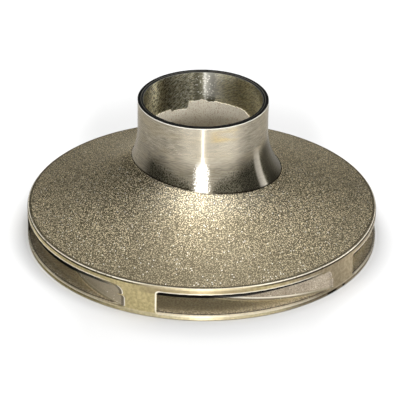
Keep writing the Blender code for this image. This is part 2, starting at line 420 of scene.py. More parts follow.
# %% The cross-section
def cross_section():
    """Half the blank's cross-section, once round: rim, outside, back, hub, eye and bore."""
    band = OUTSIDE_RADIUS - BACK_BAND_WIDTH
    eye_floor, eye_ceiling = section_ends(EYE_CLEARANCE)
    cast_edge = flare(-CAST_RISE)[-1]
    line = rim_corners() + flare() + [cast_edge] + dome()[1:-1]
    line += [point(OUTSIDE_RADIUS - EDGE_CHAMFER, EDGE_TOP + EDGE_CHAMFER * math.tan(EDGE_SLOPE)),
             point(OUTSIDE_RADIUS, EDGE_TOP - EDGE_CHAMFER),
             point(OUTSIDE_RADIUS, EDGE_CHAMFER),
             point(OUTSIDE_RADIUS - EDGE_CHAMFER, 0),
             point(band, 0), point(band - BACK_RECESS, BACK_RECESS),
             point(HUB_FACE_RADIUS + BACK_RECESS, BACK_RECESS), point(HUB_FACE_RADIUS, 0),
             point(SHAFT_BORE_RADIUS + SMALL_CHAMFER, 0),
             point(SHAFT_BORE_RADIUS, SMALL_CHAMFER),
             point(SHAFT_BORE_RADIUS, HUB_HEIGHT - SMALL_CHAMFER),
             point(SHAFT_BORE_RADIUS + SMALL_CHAMFER, HUB_HEIGHT),
             point(HUB_RADIUS - SMALL_CHAMFER, HUB_HEIGHT),
             point(HUB_RADIUS, HUB_HEIGHT - SMALL_CHAMFER)]
    line += [p for p in floor_line[::-1] if p.x < eye_floor.x and p.z < HUB_HEIGHT - SMALL_CHAMFER]
    line += [eye_floor, eye_ceiling]
    line += flare(WALL)[::-1]
    line += [point(NECK_RADIUS - WALL, LEDGE_HEIGHT), point(BORE_RADIUS, LEDGE_HEIGHT)]
    return line


# %% The ragged end of the bore
# Degrees round from the front, and millimetres down from the rim.
BORE_END = [(-166, 15.0), (-164.5, 18.9), (-148, 19.2), (-146.5, 17.7), (-130, 18.1), (-117, 18.6),
            (-60, 17.2), (0, 15.8), (60, 15.4), (112, 17.4), (127, 18.0), (134, 16.5), (143, 16.0),
            (153, 15.7), (162, 15.9), (167, 15.1), (174, 15.6), (180, 14.6), (186, 15.4)]
RAGGEDNESS = 0.00035
RAGGED_WAVES = (47, 31)
LEDGE_WIDTH = 0.0003
THROAT_HOLD = 0.046
HAIR = 0.00001


def bore_end(azimuth):
    """Height at which the boring tool's cut ends, by the angle from the front."""
    angles, depths = zip(*BORE_END)
    depth = float(np.interp(math.degrees(azimuth), angles, depths, period=360)) / 1000
    fine, coarse = RAGGED_WAVES
    ripple = math.sin(fine * azimuth) * math.sin(coarse * azimuth + 1)
    return RIM_HEIGHT - depth + RAGGEDNESS * ripple


def roughen_bore_end(work):
    """Move the ledge, and the throat just under it, to the depth that the tool reached there."""
    moved = [vert for vert in work.verts if THROAT_HOLD < vert.co.z < LEDGE_HEIGHT + HAIR
             and vert.co.xy.length < BORE_RADIUS + HAIR]
    for vert in moved:
        azimuth = math.atan2(vert.co.x, -vert.co.y)
        share = (vert.co.z - THROAT_HOLD) / (LEDGE_HEIGHT - THROAT_HOLD)
        vert.co.z = THROAT_HOLD + share * (bore_end(azimuth) - THROAT_HOLD)
        if vert.co.xy.length < BORE_RADIUS - 10 * HAIR:
            throat = flare_radius(vert.co.z, WALL)
            radius = throat + (BORE_RADIUS - LEDGE_WIDTH - throat) * share
            vert.co.xy = vert.co.xy.normalized() * radius
    print(f"bore ends at a different depth on each side: {len(moved)} points moved")


# %% The skewed foot of the turned neck
FOOT_MIDDLE = 0.0378
FOOT_SKEW = 0.0040
HIGHEST_AT = math.radians(-61.5)
SKEW_FADE = 3
SKIN_DEPTH = 0.001


def foot_height(azimuth):
    """Height at which the turned metal of the neck ends, by the angle from the front."""
    return FOOT_MIDDLE + FOOT_SKEW * math.cos(azimuth - HIGHEST_AT)


def skew_foot(work):
    """Slide the flare's points along the flare, and bend the start of the dome to meet them."""
    foot = flare()[-1]
    skin = profile([*flare(), *dome()])
    count = 0
    for vert in work.verts:
        radius, height = vert.co.xy.length, vert.co.z
        if radius < NECK_RADIUS + HAIR or height < height_on(skin, radius) - SKIN_DEPTH:
            continue
        azimuth = math.atan2(vert.co.x, -vert.co.y)
        drop = foot_height(azimuth) - foot.z
        if height > foot.z - 1e-6:
            stood_off = radius - flare_radius(height)
            height += drop * (FLARE_TOP - height) / (FLARE_TOP - foot.z)
            radius = flare_radius(height) + stood_off
        else:
            outward = (radius - foot.x) / (OUTSIDE_RADIUS - foot.x)
            height += drop * (1 - outward) ** SKEW_FADE
            radius += (flare_radius(foot_height(azimuth)) - foot.x) * (1 - outward)
        vert.co = Vector((radius * math.sin(azimuth), -radius * math.cos(azimuth), height))
        count += 1
    print(f"foot of the neck skewed by {FOOT_SKEW * 1000:.1f} mm: {count} points moved")


# %% Spinning the blank
def make_blank():
    work = bmesh.new()
    ring = [work.verts.new(corner) for corner in cross_section()]
    edges = [work.edges.new((ring[i - 1], ring[i])) for i in range(len(ring))]
    bmesh.ops.spin(work, geom=ring + edges, cent=(0, 0, 0), axis=(0, 0, 1),
                   angle=math.tau, steps=SPIN_STEPS, use_merge=True)
    bmesh.ops.remove_doubles(work, verts=work.verts, dist=1e-6)
    bmesh.ops.recalc_face_normals(work, faces=work.faces)
    roughen_bore_end(work)
    skew_foot(work)
    print(f"blank with {len(work.faces)} faces, volume {work.calc_volume() * 1e6:.1f} cm3")
    return work


# %% [markdown]
# ## Cutting the passages
# A Boolean modifier takes the cores out of the blank. It is applied at once, by reading the
# evaluated mesh, so the finished piece is a plain mesh with nothing live on it.

# %% Cutting
def new_object(name, work):
    mesh = bpy.data.meshes.new(name)
    work.to_mesh(mesh)
    work.free()
    piece = bpy.data.objects.new(name, mesh)
    bpy.context.collection.objects.link(piece)
    return piece


def cut_away(piece, cutter):
    """Subtract a closed mesh from a piece and throw the cutter away."""
    modifier = piece.modifiers.new("cut", "BOOLEAN")
    modifier.operation = "DIFFERENCE"
    modifier.object = cutter
    modifier.solver = "MANIFOLD"
    evaluated = piece.evaluated_get(bpy.context.evaluated_depsgraph_get())
    mesh = bpy.data.meshes.new_from_object(evaluated)
    piece.modifiers.clear()
    piece.data = mesh
    bpy.data.objects.remove(cutter)


# %% The keyway and the finished casting
KEYWAY_WIDTH = 0.0048
KEYWAY_DEPTH = 0.0024


def key_bar():
    """A bar as wide as the key, from inside the shaft bore out to the bottom of the keyway."""
    work = bmesh.new()
    bmesh.ops.create_cube(work, size=1)
    reach = SHAFT_BORE_RADIUS + KEYWAY_DEPTH
    bmesh.ops.scale(work, verts=work.verts, vec=(KEYWAY_WIDTH, reach, HUB_HEIGHT * 2))
    bmesh.ops.translate(work, verts=work.verts, vec=(0, reach / 2, HUB_HEIGHT / 2))
    return work


casting = new_object("casting", make_blank())
cut_away(casting, new_object("cores", all_cores()))
cut_away(casting, new_object("key_bar", key_bar()))
print(f"casting with {len(casting.data.polygons)} faces")

# %% [markdown]
# ## Which tool left which face
# Four finishes meet on the one casting: bead-blasted skin, the plain cast surface that the cores
# left, turned metal, and metal painted dark: a painted reflection on the rim and painted shade
# under the lips of the slots. Each face is given its finish by where it lies, so the borders run
# along the model's own edges.

# %% Finish of each face
BLASTED, CORED, TURNED, PAINTED_DARK = range(4)
TOUCH = 0.00005
RIM_DEPTH = 0.0004
LIP_LEVEL = 0.010
SLANTED = 0.3
STRAIGHT_OUT = 0.99
FACING_DOWN = -0.1
NECK_FROM = FLARE_TOP + 0.004
CEILING_MARGIN = 0.0005


def finish_of(face):
    middle, radius = face.center, face.center.xy.length
    at_edge = radius > OUTSIDE_RADIUS - MOUTH_CHAMFER - TOUCH
    # Painted dark: a reflection on the rim and shade under the upper lips.
    under_lip = at_edge and face.normal.z < -SLANTED and middle.z > LIP_LEVEL
    if middle.z > RIM_HEIGHT - RIM_DEPTH or under_lip:
        return PAINTED_DARK
    outwards = face.normal.xy.dot(middle.xy) / radius
    if at_edge and abs(face.normal.z) < SLANTED and outwards < STRAIGHT_OUT:
        return CORED
    if at_edge or middle.z > NECK_FROM:
        return TURNED
    if radius < SHAFT_BORE_RADIUS + KEYWAY_DEPTH + TOUCH or middle.z < TOUCH:
        return TURNED
    if middle.z < BACK_RECESS + TOUCH:
        return BLASTED
    if radius < HUB_RADIUS and middle.z > HUB_HEIGHT - SMALL_CHAMFER - TOUCH:
        return TURNED
    above_ceiling = middle.z > height_on(ceiling_profile, radius) + CEILING_MARGIN
    if radius > NECK_RADIUS - TOUCH and above_ceiling and face.normal.z > FACING_DOWN:
        on_neck = middle.z > foot_height(math.atan2(middle.x, -middle.y)) + TOUCH
        return TURNED if on_neck or radius > OUTSIDE_RADIUS - EDGE_CHAMFER else BLASTED
    in_neck = THROAT_HOLD < middle.z < RIM_HEIGHT and radius < BORE_RADIUS + TOUCH
    return TURNED if in_neck and radius > BORE_RADIUS - 2 * TOUCH else CORED


# %% [markdown]
# ## Shader maths as Python
# A finish is a recipe of masks and patterns, which reads best as arithmetic. This small class wraps
# one output socket, so that writing a * b or 1 - a adds the Math node that does it. Every other
# kind of node is added by its one method, add.

# %% A socket with operators
class Signal:
    """One output socket of a shader, or just its node tree where there's no socket yet."""

    def __init__(self, tree, socket=None):
        self.tree, self.socket = tree, socket

    def add(self, kind, settings, inputs, output=0):
        """Add a node, set it up, feed its sockets with values or signals, and wrap an output."""
        node = self.tree.nodes.new(kind)
        for name, value in settings.items():
            setattr(node, name, value)
        for key, value in inputs.items():
            if isinstance(value, Signal):
                self.tree.links.new(value.socket, node.inputs[key])
            else:
                node.inputs[key].default_value = value
        return Signal(self.tree, node.outputs[output])

    def output(self, name):
        """Another output of the same node."""
        return Signal(self.tree, self.socket.node.outputs[name])

    def math(self, operation, *values):
        return self.add("ShaderNodeMath", {"operation": operation}, dict(enumerate(values)))

    def __add__(self, other):
        return self.math("ADD", self, other)

    def __mul__(self, other):
        return self.math("MULTIPLY", self, other)

    def __sub__(self, other):
        return self.math("SUBTRACT", self, other)

    def __rsub__(self, other):
        return self.math("SUBTRACT", other, self)

    def __pow__(self, other):
        return self.math("POWER", self, other)

    def __neg__(self):
        return self * -1

    def __abs__(self):
        return self.math("ABSOLUTE", self)

    __radd__ = __add__
    __rmul__ = __mul__


# %% Patterns and masks
def rise(value, start, end):
    """A mask that goes smoothly from 0 to 1 as a value goes from start to end."""
    return value.add("ShaderNodeMapRange", {"interpolation_type": "SMOOTHSTEP"},
                     {"Value": value, "From Min": start, "From Max": end})


def near(value, middle, reach):
    """A mask that is 1 where a value lies at a place and 0 from a reach away."""
    return rise(abs(value - middle), reach, reach / 2)


def angle_rise(angle, start, end):
    """The mask rise for an angle, with start and end in degrees."""
    return rise(angle, math.radians(start), math.radians(end))


def facing(at, middle, reach):
    """The mask near for the direction from the shaft, in degrees from the front."""
    return near(at.azimuth, math.radians(middle), math.radians(reach))


def larger(first, second):
    return first.math("MAXIMUM", first, second)


def blend(factor, first, second):
    """Two colours mixed by a factor."""
    source = next(item for item in (factor, first, second) if isinstance(item, Signal))
    return source.add("ShaderNodeMix", {"data_type": "RGBA"}, {0: factor, 6: first, 7: second}, 2)


def noise(spot, scale, detail=2):
    return spot.add("ShaderNodeTexNoise", {},
                    {"Vector": spot, "Scale": scale, "Detail": detail, "Roughness": 0.6}, "Fac")


def vector(x, y, z):
    source = next(item for item in (x, y, z) if isinstance(item, Signal))
    return source.add("ShaderNodeCombineXYZ", {}, {0: x, 1: y, 2: z})


# %% Starting and feeding a material
def begin(name):
    """A new material, its shader, and signals that say where a point lies on the part."""
    material = bpy.data.materials.new(name)
    material.use_nodes = True
    tree = material.node_tree
    spot = Signal(tree).add("ShaderNodeTexCoord", {}, {}, "Object")
    x = spot.add("ShaderNodeSeparateXYZ", {}, {"Vector": spot})
    y, height = x.output("Y"), x.output("Z")
    at = SimpleNamespace(spot=spot, x=x, y=y, height=height, radius=(x * x + y * y) ** 0.5,
                         azimuth=x.math("ARCTAN2", x, -y))
    return material, tree.nodes["Principled BSDF"], at


def feed(shader, **signals):
    """Link signals to the shader's sockets, named in lower case with underscores."""
    for name, signal in signals.items():
        socket = shader.inputs[name.replace("_", " ").title()]
        signal.tree.links.new(signal.socket, socket)


def bump(height, distance):
    return height.add("ShaderNodeBump", {}, {"Height": height, "Distance": distance})


# %% [markdown]
# ## Bead-blasted skin
# Blasting leaves a fine even grain of dents. Grain this fine is smaller than a mesh could carry,
# so it is bump, helped by a colour that is darker in the dents. Glints are painted as small cells
# that are paler and smoother than what lies round them. Broad masks paint shade on the skin in
# front of the neck and towards the edge, and a faint highlight is painted beside the neck and a
# thin one along the dome's outer border. A metal shader reflects white at a flat angle, and a
# tinted specular keeps that reflection bronze.

# %% Bead-blasted bronze
GRAIN_SCALE = 1900
CLOUD_SCALE = 45
GLINT_SCALE = 520
GLINT_SIZE = 0.18
GRAIN_DEPTH = 0.00012
DARK_LINE_AT = OUTSIDE_RADIUS - 0.0012
BRIGHT_LINE_AT = OUTSIDE_RADIUS - 0.0009
LINE_FADE = 0.0002
DARK_LINE_REACH = 0.0007
DENTS, CRESTS = (0.055, 0.047, 0.026, 1), (0.76, 0.65, 0.435, 1)


def painted_glints(at, scale, size, rarity):
    """A mask of small round spots, scattered at random, where glints are painted."""
    cell = at.spot.add("ShaderNodeTexVoronoi", {}, {"Vector": at.spot, "Scale": scale}, "Distance")
    colour = cell.output("Color")
    chance = colour.add("ShaderNodeSeparateColor", {}, {0: colour})
    return rise(cell, size, size / 2) * rise(chance, rarity, rarity + 0.1)


def bead_blasted():
    material, shader, at = begin("bead_blasted_bronze")
    grain = noise(at.spot, GRAIN_SCALE, 1)
    cloud = noise(at.spot, CLOUD_SCALE, 3)
    colour = blend(rise(grain, 0.48, 0.66), DENTS, CRESTS)
    colour = blend(rise(cloud, 0.3, 0.7) * 0.2, colour, (0.20, 0.175, 0.13, 1))
    # Painted highlight beside the neck.
    painted_highlight_beside_neck = rise(at.radius, 0.050, 0.038) * facing(at, 5, 60)
    colour = blend(painted_highlight_beside_neck * 0.08, colour, (0.62, 0.60, 0.54, 1))
    # Painted shade in front of the neck and towards the edge.
    painted_shade_in_front = facing(at, 2, 45) * rise(at.radius, 0.032, 0.052)
    colour = blend(painted_shade_in_front * 0.44, colour, (0.12, 0.102, 0.068, 1))
    painted_shade_towards_edge = rise(at.radius, 0.055, 0.078) * facing(at, 0, 90)
    colour = blend(painted_shade_towards_edge * 0.3, colour, (0.09, 0.076, 0.045, 1))
    # Painted glints: small cells, paler, smoother and less metallic.
    painted_glint = painted_glints(at, GLINT_SCALE, GLINT_SIZE, 0.2) * 0.9
    colour = blend(painted_glint, colour, (1.0, 0.97, 0.88, 1))
    dark_line = near(at.radius, DARK_LINE_AT, DARK_LINE_REACH) * 0.75
    colour = blend(dark_line, colour, (0.03, 0.024, 0.015, 1))
    # Painted highlight along the dome's outer border.
    painted_edge_highlight = rise(at.radius, BRIGHT_LINE_AT, BRIGHT_LINE_AT + LINE_FADE)
    painted_edge_highlight = painted_edge_highlight * (0.25 + facing(at, -5, 40) * 0.2)
    colour = blend(painted_edge_highlight, colour, (1.0, 0.92, 0.74, 1))
    feed(shader, base_color=colour, roughness=0.43 - painted_glint * 0.2, metallic=0.85 - painted_glint * 0.6,
         normal=bump(grain, GRAIN_DEPTH))
    shader.inputs["Specular Tint"].default_value = (0.75, 0.68, 0.52, 1)
    return material


# %% [markdown]
# ## Cast surface
# The faces that the sand cores left are a little rougher and pinker than the blasted skin. Painted
# shade darkens the corners of the floor, the faces on the left and the far sides of the floor. The
# deeper floor is painted paler, standing in for light, and a thin painted highlight runs just above
# the floor. A brown line runs round the end of a slot, with a painted highlight on the fine burr
# outside it. The front of the slot's floor carries a painted highlight, with a line of painted
# shadow just behind it. Behind the upper lip the passage is in deep shade, which is painted in so
# that it stays black from the side too. The throat just under the bore is painted paler, which
# stands in for the light that falls into it. Painted glints are scattered over these faces.

# %% Where a point lies in its slot
LEFT_END = math.radians(-14.1)
END_MARGIN = math.radians(5)
SHADE_SLOPE = 0.56
SHADE_START = 0.0113


def slot_turn(at):
    """Angle from the left end of the slot that a point belongs to, negative just before it."""
    pitch = math.tau / VANE_COUNT
    turn = at.azimuth.math("FLOORED_MODULO", at.azimuth - LEFT_END + END_MARGIN, pitch)
    return turn - END_MARGIN


def lip_shade(at):
    """The black behind a slot's upper lip, which light from in front and above doesn't reach."""
    turn = slot_turn(at)
    from_edge = (OUTSIDE_RADIUS ** 2 - at.x * at.x) ** 0.5 - abs(at.y)
    start = SHADE_START + angle_rise(turn, 28, 48) * 0.0010
    start = start - rise(at.x, -0.02, -0.05) * 0.0006
    behind_lip = rise(from_edge * SHADE_SLOPE + at.height - start, 0, 0.0005)
    return behind_lip * angle_rise(turn, 60, 50)


# %% The floor of a slot
FLOOR_SLOPE = 0.0415
LIP_LINE_FROM = OUTSIDE_RADIUS - 0.0017
DEEPER_FROM = OUTSIDE_RADIUS - 0.0060
HIGHLIGHT_LINE_UP = 0.00115
FLOOR_GRAIN_SCALE = 1100
LIP_BOTTOM, LIP_TOP = 0.0027, 0.0030
# The pale colour of painted highlights and glints in the slots.
PALE = (1.0, 0.95, 0.80, 1)


def slot_floor_colour(at, fine):
    """The floor of a slot: painted shade and light, a painted shadow and highlight at the edge."""
    colour = blend(fine, (0.25, 0.20, 0.12, 1), (0.62, 0.51, 0.33, 1))
    # Painted shade on the floors at the far sides.
    colour = blend(rise(abs(at.x), 0.035, 0.055) * 0.5, colour, (0.05, 0.04, 0.025, 1))
    # Painted light: the deeper floor is paler.
    painted_light_deeper = rise(at.radius, LIP_LINE_FROM, DEEPER_FROM)
    colour = blend(painted_light_deeper, colour, blend(fine, (0.80, 0.62, 0.34, 1), (1.0, 0.84, 0.51, 1)))
    above_floor = at.height - SLOT_FLOOR - (OUTSIDE_RADIUS - at.radius) * FLOOR_SLOPE
    # Painted shade in the fillet beside the floor.
    painted_fillet_shade = rise(above_floor, 0.00005, 0.00020)
    colour = blend(painted_fillet_shade * 0.9, colour, (0.20, 0.165, 0.095, 1))
    # Painted highlight along a thin line just above the floor.
    highlight_strength = 0.12 + near(at.x, 0.020, 0.035) * 0.75
    colour = blend(near(above_floor, HIGHLIGHT_LINE_UP, 0.00045) * highlight_strength, colour, PALE)
    line_radius = LIP_LINE_FROM + angle_rise(abs(at.azimuth), 20, 60) * 0.0009
    low = rise(at.height, LIP_TOP, LIP_BOTTOM)
    # Painted shadow: a dark line across the floor, behind its front.
    colour = blend(near(at.radius, line_radius, 0.0005) * low * 0.8, colour, (0.03, 0.02, 0.01, 1))
    # Painted highlight on the front of the floor, fading to the sides.
    painted_lip_highlight = rise(at.radius - line_radius, 0.0003, 0.0006) * low
    painted_lip_highlight = painted_lip_highlight * (0.65 - rise(abs(at.x), 0.028, 0.050) * 0.5)
    return blend(painted_lip_highlight, colour, (0.90, 0.78, 0.58, 1)), rise(above_floor, 0.0018, 0.0013)


# %% Cored bronze
# The pale colour of painted highlights and painted light.
PAINTED_HIGHLIGHT = (1.0, 0.94, 0.80, 1)
SAND_SCALE = 2200
SAND_DEPTH = 0.00006
# A band is where a mask starts to rise and where it is full, in metres.
SLOTS_BAND = (0.055, 0.065)
THROAT_BAND = (0.034, 0.042)
OUTLINE_AT = OUTSIDE_RADIUS - 0.0003
BURR_WIDTH = 0.00016


def cored():
    material, shader, at = begin("cored_bronze")
    fine = rise(noise(at.spot, SAND_SCALE), 0.34, 0.66)
    cloud = noise(at.spot, 120, 3)
    colour = blend(fine, (0.26, 0.22, 0.16, 1), (0.56, 0.475, 0.365, 1))
    colour = blend(rise(cloud, 0.35, 0.7) * 0.3, colour, (0.22, 0.17, 0.11, 1))
    # Painted shade: the cored faces on the left are darker.
    colour = blend(rise(at.x, 0, -0.03) * 0.7, colour, (0.25, 0.212, 0.135, 1))
    slots = rise(at.radius, *SLOTS_BAND)
    floor_grain = rise(noise(at.spot, FLOOR_GRAIN_SCALE, 1), 0.42, 0.60)
    floor_colour, on_floor = slot_floor_colour(at, floor_grain)
    on_floor = on_floor * slots
    colour = blend(on_floor, colour, floor_colour)
    # Painted glints.
    colour = blend(painted_glints(at, 620, GLINT_SIZE, 0.4) * 0.8, colour, PALE)
    # Painted light: the throat is painted paler.
    painted_light_in_throat = rise(at.height, *THROAT_BAND)
    painted_light_mottle = rise(noise(at.spot, 1500), 0.36, 0.5)
    colour = blend(painted_light_in_throat, colour, blend(painted_light_mottle, (0.78, 0.66, 0.52, 1), PAINTED_HIGHLIGHT))
    above_lip = rise(at.height, LIP_BOTTOM, LIP_TOP)
    at_end = above_lip * rise(at.x, 0.03, 0.02)
    outlined = at_end + above_lip * rise(at.x, 0.055, 0.065)
    outline = near(at.radius, OUTLINE_AT, 0.00022) * outlined
    colour = blend(outline * 0.7, colour, (0.05, 0.035, 0.02, 1))
    # Painted highlight on the fine burr at a slot's end.
    painted_burr_highlight = rise(at.radius, OUTSIDE_RADIUS - BURR_WIDTH, OUTSIDE_RADIUS - 0.00010) * at_end
    colour = blend(painted_burr_highlight * 0.6, colour, PAINTED_HIGHLIGHT)
    colour = blend(lip_shade(at) * slots * 0.97, colour, (0.004, 0.003, 0.002, 1))
    feed(shader, base_color=colour, normal=bump(fine, SAND_DEPTH),
         metallic=0.30 - painted_light_in_throat * 0.25 - on_floor * 0.25)
    shader.inputs["Roughness"].default_value = 0.55
    return material


# %% [markdown]
# ## The neck's metal
# The neck is clean turned metal. A ragged brown painted reflection of the dark room runs round its
# flared foot, except under the highlight in front, and a fine dark line of painted shade lies in
# the crease where the tool stopped. The border of that reflection is a height with noise added,
# which needs no picture. The sides of the flare and its right end are painted darker, a highlight
# is painted up the front of the foot, and the strip lamp on the right is painted in as a pale
# reflection. The tool's grooves run round the part, so their noise is looked up with the angle
# squeezed.

# %% Clean metal
NECK_DARK, NECK_LIGHT = (0.195, 0.174, 0.134, 1), (0.365, 0.327, 0.254, 1)
GROOVE_SCALE = 2600
GROOVE_SQUEEZE = 0.003
HALO_BAND = (0.048, 0.056)
YELLOW_AT = 0.0665


def tool_marks(at):
    """Fine grooves round the part."""
    return noise(vector(at.azimuth * GROOVE_SQUEEZE, at.height, at.radius), GROOVE_SCALE)


def clean_metal(at, grooves):
    """Clean turned metal, yellower in places, painted darker at the sides, with a painted halo."""
    cloud = noise(vector(at.azimuth * 0.012, at.height, at.radius), 160, 3)
    clean = blend(rise(grooves, 0.3, 0.7), NECK_DARK, NECK_LIGHT)
    clean = blend(rise(cloud, 0.4, 0.7) * 0.35, clean, (0.33, 0.275, 0.17, 1))
    # Painted shade: the neck's sides are darker.
    painted_side_shade = angle_rise(abs(at.azimuth), 20, 65)
    clean = blend(painted_side_shade * 0.2, clean, (0.10, 0.09, 0.07, 1))
    # Painted halo round the highlight.
    halo = facing(at, 9, 36) * rise(at.height, *HALO_BAND)
    clean = blend(halo * 0.32, clean, (0.80, 0.73, 0.59, 1))
    yellow = facing(at, 20, 16) * near(at.height, YELLOW_AT, 0.004)
    return blend(yellow * rise(cloud, 0.35, 0.6) * 0.6, clean, (0.55, 0.42, 0.20, 1))


# %% Painted shade and highlights on the neck
FOOT_SHADE_DARK, FOOT_SHADE_LIGHT = (0.014, 0.013, 0.008, 1), (0.17, 0.155, 0.11, 1)
FLARE_SHADE_BAND = (0.0540, 0.0430)
FOOT_SHADE_BAND = (0.0435, 0.0385)
FOOT_SHADE_DIP = 0.011
RAGGED_BY = 0.014
FLARE_BAND = (0.056, 0.050)
COLUMN_BAND = (0.0545, 0.0480)


def neck_colour(at, grooves):
    """The neck, with painted shade on its flared foot beside the painted highlight."""
    side = angle_rise(at.azimuth, -58, -46) * (1 - facing(at, 54, 6))
    side = side * (1 - facing(at, 0.5, 10) * 0.8)
    # Painted shade on the sides of the flare, deeper towards the foot.
    painted_flare_shade = rise(at.height, *FLARE_SHADE_BAND) * side * 0.26
    clean = blend(painted_flare_shade, clean_metal(at, grooves), (0.06, 0.055, 0.04, 1))
    sideways = at.azimuth.math("SINE", at.azimuth)
    ragged = at.height + (noise(at.spot, 1700, 3) - 0.5) * RAGGED_BY
    # Painted shade, a dark reflection with a ragged border, round the foot.
    painted_foot_shade = rise(ragged - abs(sideways) * FOOT_SHADE_DIP, *FOOT_SHADE_BAND) * side
    specks = rise(noise(at.spot, 2400), 0.36, 0.66)
    colour = blend(painted_foot_shade, clean, blend(specks, FOOT_SHADE_DARK, FOOT_SHADE_LIGHT))
    on_flare = rise(at.height, *FLARE_BAND)
    # Painted reflection of the strip lamp on the right.
    colour = blend(facing(at, 54, 5) * on_flare * 0.3, colour, (0.80, 0.75, 0.66, 1))
    # Painted highlight: a white column up the front of the foot and a thin line up the neck.
    wander = (noise(at.spot, 1500) - 0.5) * 0.25
    painted_highlight_column = near(at.azimuth + wander, math.radians(-0.6), math.radians(6.5))
    painted_highlight_column = painted_highlight_column * rise(at.height, *COLUMN_BAND)
    line = facing(at, 0.2, 1.5) * 0.3
    colour = blend(larger(painted_highlight_column * 0.9, line), colour, (1.0, 0.98, 0.92, 1))
    # Painted shade at the right end of the flare.
    painted_shade_right_end = facing(at, 82, 26) * on_flare
    colour = blend(painted_shade_right_end * 0.9, colour, (0.03, 0.028, 0.02, 1))
    from_highest = at.azimuth - HIGHEST_AT
    foot = at.height - FOOT_MIDDLE - from_highest.math("COSINE", from_highest) * FOOT_SKEW
    # Painted shade in the crease where the tool stopped.
    painted_crease_shade = rise(foot, 0.0009, 0.0003) * (1 - facing(at, 0, 12))
    return blend(painted_crease_shade * 0.95, colour, (0.02, 0.016, 0.01, 1))


# %% [markdown]
# ## The bore's metal
# A long boring bar chatters, which leaves slanting marks all round the bore. They are noise again,
# stretched along a slant by mixing angle and height before the lookup. The bore is painted much
# paler than the neck, standing in for the light it lacks. On the far side one thin, broken line
# of painted light runs up the bore, with painted shade beside it and further left, and a pale
# patch and specks of glint are painted in too.

# %% Colour of the bore
# Painted light: the bore's colours are much paler than the neck's.
BORE_DARK, BORE_LIGHT = (0.80, 0.73, 0.50, 1), (1.0, 0.97, 0.74, 1)
LINE_X, SHADE_X, PATCH_X = 0.0007, -0.0125, 0.0050
PATCH_BAND = (0.056, 0.060)
CHATTER_SCALE = 1500
CHATTER_STRETCH = 0.35


def bore_colour(at, grooves):
    """Greenish metal with chatter marks and one broken line of painted light on the far side."""
    along, across = at.azimuth * 0.024 - at.height * 0.5, at.azimuth * 0.014 + at.height * 0.86
    chatter = noise(vector(along * CHATTER_STRETCH, across, 0.0), CHATTER_SCALE, 3)
    colour = blend(rise(grooves, 0.3, 0.7), BORE_DARK, BORE_LIGHT)
    depth = 0.80 - rise(at.x, 0, 0.012) * 0.4
    colour = blend(rise(chatter, 0.52, 0.46) * depth, colour, (0.10, 0.09, 0.055, 1))
    far = rise(at.y, 0, 0.01)
    wander = (noise(vector(0.0, 0.0, at.height), 500, 1) - 0.5) * 0.003
    # Painted shade beside a painted line of light, and further left.
    painted_shade_by_line = near(at.x, LINE_X, 0.007) * far
    line = near(at.x + wander, LINE_X, 0.0007) * far
    shade = near(at.x, SHADE_X, 0.010) * far
    colour = blend(painted_shade_by_line * 0.93 + shade * 0.55, colour, (0.08, 0.075, 0.05, 1))
    # Painted highlights: a pale patch and glinting specks.
    painted_pale_patch = near(at.x, PATCH_X, 0.006) * rise(at.height, *PATCH_BAND) * far
    painted_speckle = painted_glints(at, 900, 0.4, 0.3) * (0.6 + painted_pale_patch * 0.4)
    broken = rise(noise(vector(0.0, 0.0, at.height), 1500, 1), 0.40, 0.55)
    return blend(line * broken * 0.3 + painted_speckle * 0.6 + painted_pale_patch * 0.38, colour, (1.0, 0.98, 0.9, 1))


# %% [markdown]
# ## The edge's metal
# The lands between the slots are mottled, with a dark line on each chamfer, and highlights are
# painted along their sharp corners and lower lips. The lands on the right, and the front land above
# the slots, are painted darker as shade. The painted highlight round a slot's end follows a
# rounded corner, so it is found as a distance from that corner's centre.

# %% Painted highlights on the corners
SLOT_TOP = 0.0135
SLOT_CORNER = 0.0013
RING_RADIUS = SLOT_CORNER + 0.00025
RING_REACH = 0.00045
CHAMFER_BAND = (0.01615, 0.01630)
MOTTLE_SCALE = 700
EDGE_BAND = (0.060, 0.065)


def front_land(at):
    """A mask of the land that faces the viewer."""
    return facing(at, -1, 24)


def painted_corner_highlights(at):
    """The painted highlights: on the chamfer, along the upper lips and round the slots' ends."""
    turn = slot_turn(at)
    left_of_corner = larger(SLOT_CORNER - turn * OUTSIDE_RADIUS, 0)
    from_middle = abs(at.height - (SLOT_FLOOR + SLOT_TOP) / 2)
    past_corner = larger(from_middle - (SLOT_TOP - SLOT_FLOOR) / 2 + SLOT_CORNER, 0)
    ring = (left_of_corner * left_of_corner + past_corner * past_corner) ** 0.5
    # Painted highlight round each slot's end.
    slot_line = near(ring, RING_RADIUS, RING_REACH) * angle_rise(turn, 58, 50)
    slot_line = slot_line * (0.85 - angle_rise(turn, 0, 3) * 0.25)
    slot_line = slot_line * (1 - rise(at.height, 0.0050, 0.0030) * 0.3)
    on_left = angle_rise(at.azimuth, 40, 30)
    painted_burr_highlight = slot_line * (angle_rise(turn, 3, 0) * on_left + angle_rise(turn, 0, 3))
    front = front_land(at)
    # Painted highlight on the chamfer, fainter in front.
    chamfer = rise(at.height, *CHAMFER_BAND) * (0.95 - front * 0.75)
    chamfer = chamfer * rise(noise(at.spot, MOTTLE_SCALE), 0.30, 0.45)
    chamfer = larger(chamfer, rise(at.height, 0.0151, 0.0156) * front * 0.1)
    return larger(painted_burr_highlight, chamfer) * rise(at.radius, *EDGE_BAND)


